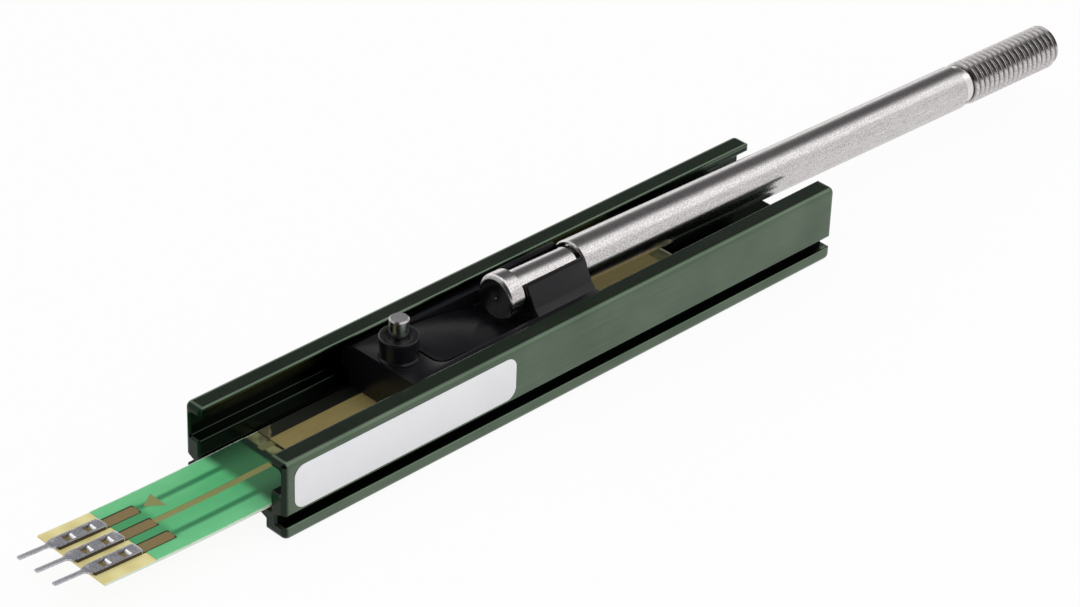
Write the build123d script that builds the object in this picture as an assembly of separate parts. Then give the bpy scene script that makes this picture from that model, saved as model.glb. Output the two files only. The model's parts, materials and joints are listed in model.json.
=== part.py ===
from build123d import *
import math
import os

os.makedirs("parts", exist_ok=True)

# Axes: +X runs along the channel from its tail end to the threaded end of the rod,
# +Y is the side away from the label, +Z is up. The origin lies on the channel's
# standing plane, midway between its legs, at its tail end. Lengths are in mm.

# Channel, one open aluminium extrusion
channel_length = 74.2
channel_width = 14.3
channel_height = 8.6
wall_thickness = 0.75
lip_reach = 1.5
lip_thickness = 1.0
lip_nose_radius = 0.6
ledge_reach = 1.35
guide_floor = 4.9
floor_top = 2.72
floor_thickness = 1.07
leg_width = 2.85
relief_depth_at_leg = 1.32
relief_slope_run = 0.9
groove_floor = 1.5
groove_depth = 1.35
groove_root_height = 0.75
groove_mouth_height = 1.35
channel_outer_radius = 0.7
channel_small_radius = 0.25
channel_end_chamfer = 0.22

# Circuit board, which follows a gentle upward bend outside the channel
board_side_gap = 0.175
board_thickness = 0.20
adhesive_thickness = 0.10
adhesive_edge = 0.4
board_past_film = 2.0
tail_length = 18.96
tail_bend_radius = 312.0
copper_thickness = 0.03
pad_pitch = 2.54
pad_width = 1.5
pad_corner = 0.12
pad_past_contact = 3.9
trace_width = 0.78
mask_thickness = 0.06
mask_past_contact = 0.26
mask_to_film = 1.7
mask_slot_cover = 0.8

# Membrane over the resistive track
film_left_end = 6.9
stroke = 50.0
film_side_margin = 0.1
spacer_thickness = 0.09
film_thickness = 0.05
track_width = 5.2
track_margin = 0.9
window_margin = 0.4
collector_width = 6.0
collector_thickness = 0.02
collector_tab_length = 0.7
track_to_outer_trace = 0.9

# Crimped contacts
contact_body_inset = 0.21
contact_body_length = 5.45
contact_taper_length = 0.95
contact_width = 1.54
contact_sheet = 0.2
contact_height = 0.34
contact_pin_lift = 0.14
contact_corner = 0.25
contact_pin_width = 0.45
contact_pin_length = 3.17
window_length = 1.28
window_width = 1.0
window_centres = (1.47, 3.78)
tine_thickness = 0.18
tine_width = 0.88
tine_reach = 0.55
tine_bend = 0.2
tine_foot = 0.6
tine_slot_clearance = 0.04

# Slider, one black moulding
slider_left_end = 18.37
slider_length = 24.53
deck_top = 7.92
deck_lip_clearance = 0.55
wing_side_clearance = 0.15
wing_ledge_clearance = 0.1
wing_lip_clearance = 0.1
slider_wing_round = 0.5
slider_well_clearance = 0.25
slider_film_clearance = 0.15
rim_width = 0.68
pocket_left = 4.03
pocket_floor = 6.35
pocket_floor_thickness = 1.15
slider_end_wall = 1.2
tongue_slit = 0.27
tongue_root_to_clip = 1.7
tongue_corner = 1.1
tongue_tip_depth = 2.3
tongue_overlap = 0.5
boss_from_end = 2.03
boss_top = 10.48
boss_radius = 2.0
boss_edge_round = 0.2
boss_neck_radius = 1.88
boss_foot_radius = 2.03
boss_foot_height = 0.2
boss_recess_radius = 1.35
boss_recess_depth = 0.15
boss_front_reach = 1.2
clip_length = 7.7
clip_top = 10.6
clip_foot_half = 3.25
clip_tip_half = 2.2
clip_mouth = 3.3
clip_foot_rise = 0.6
clip_foot_radius = 0.9
clip_corner = 0.2
clip_bore_clearance = 0.17

# Drive pin, whose thinner shank is pressed into the slider's boss
drive_pin_radius = 1.0
drive_pin_top = 12.4
drive_pin_chamfer = 0.15
drive_pin_shank_radius = 0.8
drive_pin_seat = 5.2
drive_pin_shoulder_rise = 0.05

# Wiper stud under the tongue
wiper_from_end = 7.33
wiper_radius = 0.9
wiper_seat = 0.9
wiper_lift = 0.05

# Pull rod, which droops a little in its clip
rod_axis_rise = 1.165
rod_droop = 1.66
rod_radius = 2.4
rod_head_length = 1.95
rod_head_round = 0.5
rod_face_cone = 0.16
rod_dimple_radius = 0.15
rod_neck_radius = 1.9
rod_head_gap = 0.4
rod_shoulder_gap = 0.1
rod_groove_length = 0.3
rod_groove_radius = 1.6
rod_shaft_length = 58.05
rod_edge_chamfer = 0.15
rod_undercut_radius = 2.1
rod_undercut_length = 0.95
rod_thread_radius = 2.42
rod_thread_length = 14.55
rod_thread_chamfer = 0.5

# Plain label on the channel's near side
label_left = 1.15
label_length = 27.85
label_height = 4.7
label_bottom = 3.17
label_thickness = 0.08
label_corner = 1.2

# Levels of the layers, worked up from the channel's floor
board_bottom = floor_top + adhesive_thickness
board_top = board_bottom + board_thickness
copper_top = board_top + copper_thickness
mask_top = board_top + mask_thickness
spacer_top = board_top + spacer_thickness
film_top = spacer_top + film_thickness
bend_centre = board_bottom + tail_bend_radius

# Widths, worked in from the channel's outside
guide_width = channel_width - 2 * wall_thickness
lip_gap = guide_width - 2 * lip_reach
well_width = guide_width - 2 * ledge_reach
relief_width = channel_width - 2 * leg_width
board_width = well_width - 2 * board_side_gap
film_width = board_width - 2 * film_side_margin
outer_trace_offset = track_width / 2 + track_to_outer_trace + trace_width / 2
deck_width = lip_gap - 2 * deck_lip_clearance
pocket_width = deck_width - 2 * rim_width

# Places along the channel
film_right_end = film_left_end + stroke
board_right_end = film_right_end + board_past_film
contact_inner_end = contact_body_inset + contact_body_length - tail_length
pad_inner_end = contact_inner_end + pad_past_contact
mask_left_end = contact_inner_end + mask_past_contact
mask_right_end = film_left_end - mask_to_film
mask_slot_end = mask_right_end - mask_slot_cover
slider_right_end = slider_left_end + slider_length
clip_left = slider_right_end - clip_length
clip_middle = clip_left + clip_length / 2
tongue_root_x = clip_left - tongue_root_to_clip

# Stations along the rod, from the face of its head
rod_shaft_start = rod_head_length + rod_head_gap + clip_length + rod_shoulder_gap
rod_neck_end = rod_shaft_start - rod_groove_length
rod_shaft_end = rod_shaft_start + rod_shaft_length
rod_thread_start = rod_shaft_end + rod_undercut_length
rod_thread_end = rod_thread_start + rod_thread_length
rod_head_x = clip_left - rod_head_gap - rod_head_length
rod_bore_height = deck_top + rod_axis_rise
rod_head_z = rod_bore_height + math.tan(math.radians(rod_droop)) * (clip_middle - rod_head_x)


# Point on the board's side view: distance along the board and height when flat
def tail_point(along, height):
    if along >= 0:
        return (along, height)
    turn = -along / tail_bend_radius
    reach = bend_centre - height
    return (-reach * math.sin(turn), bend_centre - reach * math.cos(turn))


# Flat or bent sheet between two heights, as wide as given about the middle plane
def sheet(lower, upper, left, right, width):
    if left >= 0:
        outline = Polyline((left, lower), (right, lower), (right, upper), (left, upper), close=True)
        return extrude(Plane.XZ * make_face(outline), amount=width / 2, both=True)
    bend_end = min(right, 0)
    middle = (left + bend_end) / 2
    below = ThreePointArc(tail_point(left, lower), tail_point(middle, lower), tail_point(bend_end, lower))
    above = ThreePointArc(tail_point(left, upper), tail_point(middle, upper), tail_point(bend_end, upper))
    edges = [below, above, Line(tail_point(left, lower), tail_point(left, upper))]
    if right > 0:
        edges.append(Line((0, lower), (right, lower)))
        edges.append(Line((0, upper), (right, upper)))
    edges.append(Line(tail_point(right, lower), tail_point(right, upper)))
    return extrude(Plane.XZ * make_face(edges), amount=width / 2, both=True)


# Upright prism over a plan outline, tall enough to cut any layer of the board
def prism(outline):
    return Pos(0, 0, floor_top) * extrude(outline, amount=channel_height)


# Rectangle in plan from its ends and its middle line
def plan_bar(left, right, width, middle=0.0):
    return Pos((left + right) / 2, middle) * Rectangle(right - left, width)


# The corner of a flat outline that lies nearest to a point
def corner(outline, x, y):
    return outline.vertices().sort_by_distance((x, y, 0))[0]


# What rounding takes off the inner corners of the two lips, at both ends of the channel
def lip_corners():
    sliver = Rectangle(lip_nose_radius, lip_nose_radius, align=(Align.MIN, Align.MIN))
    sliver -= Pos(lip_nose_radius, lip_nose_radius) * Circle(lip_nose_radius)
    cutter = extrude(sliver, amount=lip_thickness, both=True)
    height = channel_height - lip_thickness / 2
    places = ((0, 1), (channel_length, 1), (channel_length, -1), (0, -1))
    cuts = []
    for quarter, (x, side) in enumerate(places):
        cuts.append(Pos(x, side * lip_gap / 2, height) * Rot(0, 0, 90 * quarter) * cutter)
    return cuts


# Half of the channel's section, drawn in Y and Z, then mirrored; tumbling rounds its outside
def make_channel():
    side = channel_width / 2
    lip = lip_gap / 2
    guide = guide_width / 2
    well = well_width / 2
    leg = relief_width / 2
    ceiling = floor_top - floor_thickness
    lip_under = channel_height - lip_thickness
    groove_root = side - groove_depth
    half = make_face(Polyline(
        (0, ceiling),
        (leg - relief_slope_run, ceiling),
        (leg, relief_depth_at_leg),
        (leg, 0),
        (side, 0),
        (side, groove_floor),
        (groove_root, groove_floor),
        (groove_root, groove_floor + groove_root_height),
        (side, groove_floor + groove_mouth_height),
        (side, channel_height),
        (lip, channel_height),
        (lip, lip_under),
        (guide, lip_under),
        (guide, guide_floor),
        (well, guide_floor),
        (well, floor_top),
        (0, floor_top),
        close=True,
    ))
    small = [
        corner(half, lip, channel_height),
        corner(half, lip, lip_under),
        corner(half, leg, 0),
        corner(half, side, groove_floor),
        corner(half, side, groove_floor + groove_mouth_height),
        corner(half, well, guide_floor),
        corner(half, guide, guide_floor),
        corner(half, guide, lip_under),
    ]
    half = fillet(small, channel_small_radius)
    section = half + mirror(half, about=Plane.YZ)
    body = extrude(Plane.YZ * section, amount=channel_length)
    ends = body.edges().group_by(Axis.X)
    body = chamfer(ends[0] + ends[-1], channel_end_chamfer)
    envelope = Box(channel_length, channel_width, channel_height, align=(Align.MIN, Align.CENTER, Align.MIN))
    return (body & fillet(envelope.edges(), channel_outer_radius)) - lip_corners()


def make_adhesive_strip():
    return sheet(floor_top, board_bottom, adhesive_edge, board_right_end - adhesive_edge, board_width - adhesive_edge)


# Slots in the board, one for each tine of each contact
def tine_slots():
    cuts = []
    for number in (-1, 0, 1):
        for centre in window_centres:
            tine_left = contact_inner_end - centre + window_length / 2 - tine_reach
            slot_left = tine_left - tine_slot_clearance
            slot_right = tine_left + tine_thickness + tine_slot_clearance
            slot_width = tine_width + 2 * tine_slot_clearance
            cuts.append(prism(plan_bar(slot_left, slot_right, slot_width, number * pad_pitch)))
    return cuts


def make_circuit_board():
    board = sheet(board_bottom, board_top, -tail_length, board_right_end, board_width)
    return board - tine_slots()


# Outline of one pad, with its inner corners cut off
def pad_outline(number):
    left = contact_inner_end - contact_body_length
    pad = plan_bar(left, pad_inner_end, pad_width, (2 - number) * pad_pitch)
    return chamfer(pad.vertices().group_by(Axis.X)[-1], pad_corner)


# Pads run under the contacts to the tail, with a trace from each into the channel
def make_conductor(number):
    middle = (2 - number) * pad_pitch
    pad = pad_outline(number)
    track_left = film_left_end + track_margin
    track_right = film_right_end - track_margin
    if number == 1:
        trace = plan_bar(pad_inner_end, track_left + trace_width, trace_width, middle)
        link = plan_bar(track_left, track_left + trace_width, middle, middle / 2)
        plan = pad + trace + link
    elif number == 2:
        plan = pad + plan_bar(pad_inner_end, film_left_end + collector_tab_length, trace_width)
    else:
        jog = plan_bar(0, trace_width, outer_trace_offset + middle + trace_width, (middle - outer_trace_offset) / 2)
        far_run = plan_bar(0, track_right, trace_width, -outer_trace_offset)
        link = plan_bar(track_right - trace_width, track_right, outer_trace_offset + trace_width / 2,
                        -outer_trace_offset / 2 - trace_width / 4)
        plan = pad + plan_bar(pad_inner_end, trace_width, trace_width, middle) + jog + far_run + link
    layer = sheet(board_top, copper_top, -tail_length, board_right_end, board_width)
    return (layer & prism(plan)) - tine_slots()


# The mask leaves the three pads and most of the middle trace bare
def make_solder_mask(conductors):
    mask = sheet(board_top, mask_top, mask_left_end, mask_right_end, board_width)
    bare = [prism(plan_bar(mask_left_end, mask_slot_end, trace_width))]
    for number in (1, 2, 3):
        bare.append(prism(pad_outline(number)))
    return mask - bare - conductors


def make_resistive_track(conductors):
    left = film_left_end + track_margin
    return sheet(board_top, copper_top, left, film_right_end - track_margin, track_width) - conductors


def make_spacer_film(conductors):
    film = sheet(board_top, spacer_top, film_left_end, film_right_end, film_width)
    window = sheet(board_top, spacer_top, film_left_end + window_margin, film_right_end - window_margin,
                   track_width + 2 * window_margin)
    tab_way = sheet(board_top, spacer_top, film_left_end, film_left_end + window_margin, trace_width)
    return film - window - tab_way - conductors


# The collector reaches down to the middle trace at its left end
def make_collector_strip():
    left = film_left_end + window_margin
    strip = sheet(spacer_top - collector_thickness, spacer_top, left, film_right_end - track_margin, collector_width)
    tab_right = film_left_end + collector_tab_length
    tab = sheet(copper_top, spacer_top, left, tab_right, trace_width)
    return strip + tab


def make_top_film():
    return sheet(spacer_top, film_top, film_left_end, film_right_end, film_width)


# One tine: bent down from its window's inner edge, through the board, and hooked back under it
def make_tine(along):
    foot_top = board_bottom - copper_top
    foot_bottom = foot_top - tine_thickness
    outside = -tine_reach
    inside = tine_thickness - tine_reach
    under = contact_height - tine_thickness
    strip = make_face(Polyline(
        (contact_sheet, contact_height),
        (outside, contact_height),
        (outside, foot_top),
        (inside - tine_foot, foot_top),
        (inside - tine_foot, foot_bottom),
        (inside, foot_bottom),
        (inside, under),
        (contact_sheet, under),
        close=True,
    ))
    strip = fillet(corner(strip, outside, contact_height), tine_bend + tine_thickness)
    strip = fillet([corner(strip, inside, under), corner(strip, inside, foot_bottom)], tine_bend)
    hook = extrude(Plane.XZ * strip, amount=tine_width / 2, both=True)
    x, z = tail_point(along, copper_top)
    turn = math.degrees(-along / tail_bend_radius)
    return Pos(x, 0, z) * Rot(0, turn, 0) * hook


# Contact: body with two windows, neck and pin, its long sides turned down to the pad
def make_contact(number):
    body_left = contact_inner_end - contact_body_length
    neck_left = body_left - contact_taper_length
    pin_left = neck_left - contact_pin_length
    top = copper_top + contact_height
    half = contact_width / 2
    pin_half = contact_pin_width / 2
    plan = make_face(Polyline(
        (contact_inner_end, -half),
        (contact_inner_end, half),
        (body_left, half),
        (neck_left, pin_half),
        (pin_left, pin_half),
        (pin_left, -pin_half),
        (neck_left, -pin_half),
        (body_left, -half),
        close=True,
    ))
    inner_corners = [corner(plan, contact_inner_end, -half), corner(plan, contact_inner_end, half)]
    plan = fillet(inner_corners, contact_corner)
    shoulders = [
        corner(plan, body_left, -half),
        corner(plan, body_left, half),
        corner(plan, neck_left, -pin_half),
        corner(plan, neck_left, pin_half),
    ]
    plan = fillet(shoulders, contact_corner)
    under = top - contact_sheet
    side = make_face(Polyline(
        tail_point(contact_inner_end, top),
        tail_point(body_left, top),
        tail_point(neck_left, top + contact_pin_lift),
        tail_point(pin_left, top + contact_pin_lift),
        tail_point(pin_left, under + contact_pin_lift),
        tail_point(neck_left, under + contact_pin_lift),
        tail_point(body_left, under),
        tail_point(contact_inner_end, under),
        close=True,
    ))
    web = extrude(Plane.XZ * side, amount=half, both=True)
    flanges = sheet(copper_top, top - contact_sheet / 2, body_left, contact_inner_end, contact_width)
    flanges -= sheet(copper_top, top, body_left, contact_inner_end, contact_width - 2 * contact_sheet)
    shape = (web + flanges) & prism(plan)
    for centre in window_centres:
        middle = contact_inner_end - centre
        window = plan_bar(middle - window_length / 2, middle + window_length / 2, window_width)
        shape -= prism(window)
        shape += make_tine(middle + window_length / 2)
    return Pos(0, (2 - number) * pad_pitch, 0) * shape


# Slider: deck, guide wings and body, a pocket with its sprung tongue, boss and rod clip
def make_slider():
    left = slider_left_end
    right = slider_right_end
    bottom = film_top + slider_film_clearance
    wing_bottom = guide_floor + wing_ledge_clearance
    wing_top = channel_height - lip_thickness - wing_lip_clearance
    deck = deck_width / 2
    wing = guide_width / 2 - wing_side_clearance
    body = well_width / 2 - slider_well_clearance
    half = make_face(Polyline(
        (0, bottom),
        (body, bottom),
        (body, wing_bottom),
        (wing, wing_bottom),
        (wing, wing_top),
        (deck, wing_top),
        (deck, deck_top),
        (0, deck_top),
        close=True,
    ))
    section = half + mirror(half, about=Plane.YZ)
    block = Pos(left, 0, 0) * extrude(Plane.YZ * section, amount=slider_length)
    from_middle = block.edges().filter_by(Axis.Z).sort_by(lambda edge: abs(edge.center().Y))
    block = fillet(from_middle[-4:], slider_wing_round)

    # Pocket: open to the film under the tongue, floored from the tongue's root to the right end
    pocket_start = left + pocket_left
    root = tongue_root_x
    under_floor = pocket_floor - pocket_floor_thickness
    through = Pos((pocket_start + root) / 2, 0, bottom) * Box(
        root - pocket_start, pocket_width, channel_height, align=(Align.CENTER, Align.CENTER, Align.MIN))
    above = Pos(root, 0, pocket_floor) * Box(
        right - root, pocket_width, channel_height, align=(Align.MIN, Align.CENTER, Align.MIN))
    below = Pos(root, 0, bottom) * Box(
        right - slider_end_wall - root, pocket_width, under_floor - bottom, align=(Align.MIN, Align.CENTER, Align.MIN))
    block -= fillet(through.edges().filter_by(Axis.Z).group_by(Axis.X)[0], tongue_corner + tongue_slit)
    block -= above
    block -= below

    # Tongue: level with the deck at its free end, bending down to a thin root
    free_end = pocket_start + tongue_slit
    upper = TangentArc((free_end, deck_top), (root, pocket_floor), tangent=(1, 0))
    tongue_side = make_face([upper, Polyline(
        (root, pocket_floor),
        (root + tongue_overlap, pocket_floor),
        (root + tongue_overlap, under_floor),
        (root, under_floor),
        (free_end, deck_top - tongue_tip_depth),
        (free_end, deck_top),
    )])
    tongue_width = pocket_width - 2 * tongue_slit
    tongue = extrude(Plane.XZ * tongue_side, amount=tongue_width / 2, both=True)
    tip_edges = tongue.edges().filter_by(Axis.Z).group_by(Axis.X)[0]
    tongue = fillet(tip_edges, tongue_corner)
    block += tongue

    # Rod clip: two walls that lean in over the rod's neck
    bore_radius = rod_neck_radius + clip_bore_clearance
    clip_half = make_face(Polyline(
        (0, pocket_floor),
        (deck, pocket_floor),
        (deck, deck_top),
        (clip_foot_half + clip_foot_rise, deck_top),
        (clip_foot_half, deck_top + clip_foot_rise),
        (clip_tip_half, clip_top),
        (0, clip_top),
        close=True,
    ))
    clip_half = fillet(corner(clip_half, clip_foot_half, deck_top + clip_foot_rise), clip_foot_radius)
    clip_section = clip_half + mirror(clip_half, about=Plane.YZ)
    clip = Pos(clip_left, 0, 0) * extrude(Plane.YZ * clip_section, amount=clip_length)
    top_ends = clip.edges().filter_by(Axis.Y).group_by(Axis.Z)[-1].sort_by(Axis.X)
    clip = chamfer(top_ends[-1], clip_corner)
    bore = Pos(clip_middle, 0, rod_bore_height) * Rot(0, 90, 0) * Cylinder(bore_radius, 2 * clip_length)
    mouth = Pos(clip_middle, 0, rod_bore_height) * Box(
        2 * clip_length, clip_mouth, channel_height, align=(Align.CENTER, Align.CENTER, Align.MIN))
    clip = clip - bore - mouth
    block += clip

    # Boss for the drive pin, with a shallow recess round the pin
    boss_x = left + boss_from_end
    boss_outline = make_face(Polyline(
        (0, deck_top - boss_front_reach),
        (boss_foot_radius, deck_top - boss_front_reach),
        (boss_foot_radius, deck_top + boss_foot_height),
        (boss_neck_radius, deck_top + 2 * boss_foot_height),
        (boss_radius, boss_top),
        (0, boss_top),
        close=True,
    ))
    boss_outline = fillet(corner(boss_outline, boss_radius, boss_top), boss_edge_round)
    boss = Pos(boss_x, 0, 0) * revolve(Plane.XZ * boss_outline, Axis.Z)
    block += boss
    recess = Pos(boss_x, 0, boss_top - boss_recess_depth) * Cylinder(
        boss_recess_radius, boss_recess_depth, align=(Align.CENTER, Align.CENTER, Align.MIN))
    pin_hole = Pos(boss_x, 0, drive_pin_seat) * Cylinder(
        drive_pin_shank_radius, boss_top, align=(Align.CENTER, Align.CENTER, Align.MIN))
    stud_hole = Pos(left + wiper_from_end, 0, bottom) * Cylinder(
        wiper_radius, wiper_hole_top() - bottom, align=(Align.CENTER, Align.CENTER, Align.MIN))
    return block - recess - pin_hole - stud_hole


# Underside of the tongue over the wiper stud, and how far up the stud is seated
def wiper_hole_top():
    free_end = slider_left_end + pocket_left + tongue_slit
    share = (slider_left_end + wiper_from_end - free_end) / (tongue_root_x - free_end)
    tip_under = deck_top - tongue_tip_depth
    root_under = pocket_floor - pocket_floor_thickness
    return tip_under + share * (root_under - tip_under) + wiper_seat


def make_wiper_tip():
    tip = film_top + wiper_lift
    stud = Pos(slider_left_end + wiper_from_end, 0, tip) * Cylinder(
        wiper_radius, wiper_hole_top() - tip, align=(Align.CENTER, Align.CENTER, Align.MIN))
    return fillet(stud.edges().group_by(Axis.Z)[0], wiper_radius * 0.8)


def make_drive_pin():
    shoulder = boss_top + drive_pin_shoulder_rise
    outline = make_face(Polyline(
        (0, drive_pin_seat),
        (drive_pin_shank_radius, drive_pin_seat),
        (drive_pin_shank_radius, shoulder),
        (drive_pin_radius, shoulder),
        (drive_pin_radius, drive_pin_top - drive_pin_chamfer),
        (drive_pin_radius - drive_pin_chamfer, drive_pin_top),
        (0, drive_pin_top),
        close=True,
    ))
    return Pos(slider_left_end + boss_from_end, 0, 0) * revolve(Plane.XZ * outline, Axis.Z)


# Pull rod, turned about its own axis and then set into the clip at its droop
def make_pull_rod():
    outline = make_face(Polyline(
        (rod_face_cone + rod_dimple_radius, 0),
        (rod_face_cone, rod_dimple_radius),
        (0, rod_radius),
        (rod_head_length - rod_edge_chamfer, rod_radius),
        (rod_head_length, rod_radius - rod_edge_chamfer),
        (rod_head_length, rod_neck_radius),
        (rod_neck_end - rod_edge_chamfer, rod_neck_radius),
        (rod_neck_end, rod_neck_radius - rod_edge_chamfer),
        (rod_neck_end, rod_groove_radius),
        (rod_shaft_start, rod_groove_radius),
        (rod_shaft_start, rod_radius - rod_edge_chamfer),
        (rod_shaft_start + rod_edge_chamfer, rod_radius),
        (rod_shaft_end - rod_edge_chamfer, rod_radius),
        (rod_shaft_end, rod_radius - rod_edge_chamfer),
        (rod_shaft_end, rod_undercut_radius),
        (rod_thread_start, rod_undercut_radius),
        (rod_thread_start + rod_edge_chamfer, rod_thread_radius),
        (rod_thread_end - rod_thread_chamfer, rod_thread_radius),
        (rod_thread_end, rod_thread_radius - rod_thread_chamfer),
        (rod_thread_end, 0),
        close=True,
    ))
    outline = fillet(corner(outline, 0, rod_radius), rod_head_round)
    rod = revolve(Plane.XZ * outline, Axis.X)
    return Pos(rod_head_x, 0, rod_head_z) * Rot(0, rod_droop, 0) * rod


def make_label():
    plan = RectangleRounded(label_length, label_height, label_corner)
    middle = Plane(
        origin=(label_left + label_length / 2, -channel_width / 2, label_bottom + label_height / 2),
        x_dir=(1, 0, 0),
        z_dir=(0, -1, 0),
    )
    return extrude(middle * plan, amount=label_thickness)


conductors = [make_conductor(number) for number in (1, 2, 3)]
nodes = {
    "channel": make_channel(),
    "adhesive_strip": make_adhesive_strip(),
    "circuit_board": make_circuit_board(),
    "solder_mask": make_solder_mask(conductors),
    "resistive_track": make_resistive_track(conductors),
    "spacer_film": make_spacer_film(conductors),
    "collector_strip": make_collector_strip(),
    "top_film": make_top_film(),
    "slider": make_slider(),
    "wiper_tip": make_wiper_tip(),
    "drive_pin": make_drive_pin(),
    "pull_rod": make_pull_rod(),
    "label": make_label(),
}
for number in (1, 2, 3):
    nodes[f"conductor_{number}"] = conductors[number - 1]
    nodes[f"contact_{number}"] = make_contact(number)

for name, shape in nodes.items():
    export_step(shape, f"parts/{name}.step")
    print(name, round(shape.volume, 3))
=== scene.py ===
import json
import math

import bmesh
import bpy
from mathutils import Matrix, Vector


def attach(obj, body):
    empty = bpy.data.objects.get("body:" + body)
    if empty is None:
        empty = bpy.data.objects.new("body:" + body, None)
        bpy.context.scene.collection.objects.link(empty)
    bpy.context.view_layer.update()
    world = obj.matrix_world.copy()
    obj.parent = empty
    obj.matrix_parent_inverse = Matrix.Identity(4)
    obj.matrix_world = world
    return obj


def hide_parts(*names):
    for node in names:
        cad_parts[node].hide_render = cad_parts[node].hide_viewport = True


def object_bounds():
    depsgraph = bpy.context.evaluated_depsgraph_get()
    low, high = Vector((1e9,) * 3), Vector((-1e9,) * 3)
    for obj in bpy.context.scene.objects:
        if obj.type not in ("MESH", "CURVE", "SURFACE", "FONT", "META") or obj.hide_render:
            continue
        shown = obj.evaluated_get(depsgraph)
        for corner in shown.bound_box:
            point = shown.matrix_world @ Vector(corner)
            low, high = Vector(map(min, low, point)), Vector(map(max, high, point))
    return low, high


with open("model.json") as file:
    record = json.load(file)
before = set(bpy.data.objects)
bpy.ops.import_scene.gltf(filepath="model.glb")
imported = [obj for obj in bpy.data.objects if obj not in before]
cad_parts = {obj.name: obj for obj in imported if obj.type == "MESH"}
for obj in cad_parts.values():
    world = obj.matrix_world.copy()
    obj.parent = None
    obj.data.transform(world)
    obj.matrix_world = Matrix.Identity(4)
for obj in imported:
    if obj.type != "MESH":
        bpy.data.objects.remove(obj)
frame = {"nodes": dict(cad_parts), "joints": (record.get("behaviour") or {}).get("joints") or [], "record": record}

# Linear position transducer: open extrusion, membrane track, black slider, threaded pull rod.
# Everything is built in metres in the frame of the model. Sizes and places in the dictionaries are in
# millimetres along, across and up from the channel's standing plane, and mm turns them to metres.
mm = 0.001
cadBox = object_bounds()
nodes = frame["nodes"]
joints = {joint["name"]: joint for joint in frame["joints"]}
noiseSpread = (0.3, 0.7)  # most of a noise texture's values lie between these
waveBands = 20 / (2 * math.pi)  # bands that a wave texture has in one unit
smooth = {"interpolation_type": "SMOOTHSTEP"}
rgba = {"data_type": "RGBA"}


def hexColour(code):
    # sRGB hex to the linear values that shaders want
    parts = [int(code[i:i + 2], 16) / 255 for i in (1, 3, 5)]
    return tuple(p / 12.92 if p <= 0.04045 else ((p + 0.055) / 1.055) ** 2.4 for p in parts) + (1.0,)


def outputOf(source):
    # a node stands for its first output in use
    if isinstance(source, bpy.types.Node):
        return next(output for output in source.outputs if output.enabled)
    return source


def addNode(tree, kind, settings, links=()):
    # settings name a property or a socket (by name or number), links pair a socket with its source
    node = tree.nodes.new("ShaderNode" + kind)
    for key, value in settings.items():
        if not isinstance(key, int) and hasattr(node, key):
            setattr(node, key, value)
    for key, value in settings.items():
        if isinstance(key, int) or not hasattr(node, key):
            node.inputs[key].default_value = value
    for socket, source in links:
        tree.links.new(outputOf(source), node.inputs[socket])
    return node


def perMm(size):
    # texture scale on Object coordinates for a feature this many millimetres wide; grains too fine for a
    # picture are drawn coarser than the real ones, so that they show
    return 1 / (size * mm)


def fromTo(limits, unit=mm):
    # settings for a soft mask: where it starts to count and where it counts in full, in millimetres, or as
    # they stand where unit is 1
    return {"From Min": limits[0] * unit, "From Max": limits[1] * unit}


def tones(finish, above, below=None):
    # settings for a mix of colours named in finish, above over below or over what is linked there
    settings = rgba | {7: hexColour(finish[above])}
    return settings if below is None else settings | {6: hexColour(finish[below])}


def startMaterial(name, settings):
    # settings are what is the same all over
    material = bpy.data.materials.new(name)
    material.use_nodes = True
    tree = material.node_tree
    tree.nodes.clear()
    shader = addNode(tree, "BsdfPrincipled", settings)
    addNode(tree, "OutputMaterial", {}, [("Surface", shader)])
    place = addNode(tree, "TexCoord", {}).outputs["Object"]
    return material, tree, place


def endMaterial(material, finish, colour, relief, rough=None):
    # links what varies: the colour, the fine relief (its strength and depth are in finish) and the roughness
    tree = material.node_tree
    strength, depth = finish["relief"]
    bump = addNode(tree, "Bump", {"Strength": strength, "Distance": depth * mm}, [("Height", relief)])
    shader = tree.nodes["Principled BSDF"]
    for socket, source in (("Base Color", colour), ("Roughness", rough), ("Normal", bump)):
        if source is not None:
            tree.links.new(outputOf(source), shader.inputs[socket])
    return material


# Camera at the photograph's place and angle, as found from the object's straight edges
cameraView = {
    "place": (-177.35, -214.80, 202.57),
    "direction": (0.59659, 0.59200, -0.54187),
    "roll": 2.089,  # degrees
    "lens": 123.40,
    "sensorWidth": 36.0,
    "clip": (10.0, 20000.0),
}


def makeCamera():
    data = bpy.data.cameras.new("camera")
    data.sensor_fit = "HORIZONTAL"
    data.sensor_width = cameraView["sensorWidth"]
    data.lens = cameraView["lens"]
    data.clip_start, data.clip_end = [distance * mm for distance in cameraView["clip"]]
    camera = bpy.data.objects.new("camera", data)
    turn = Vector(cameraView["direction"]).to_track_quat("-Z", "Y").to_matrix()
    roll = Matrix.Rotation(math.radians(cameraView["roll"]), 3, "Z")
    camera.matrix_world = Matrix.Translation(Vector(cameraView["place"]) * mm) @ (turn @ roll).to_4x4()
    bpy.context.scene.collection.objects.link(camera)
    bpy.context.scene.camera = camera


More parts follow.
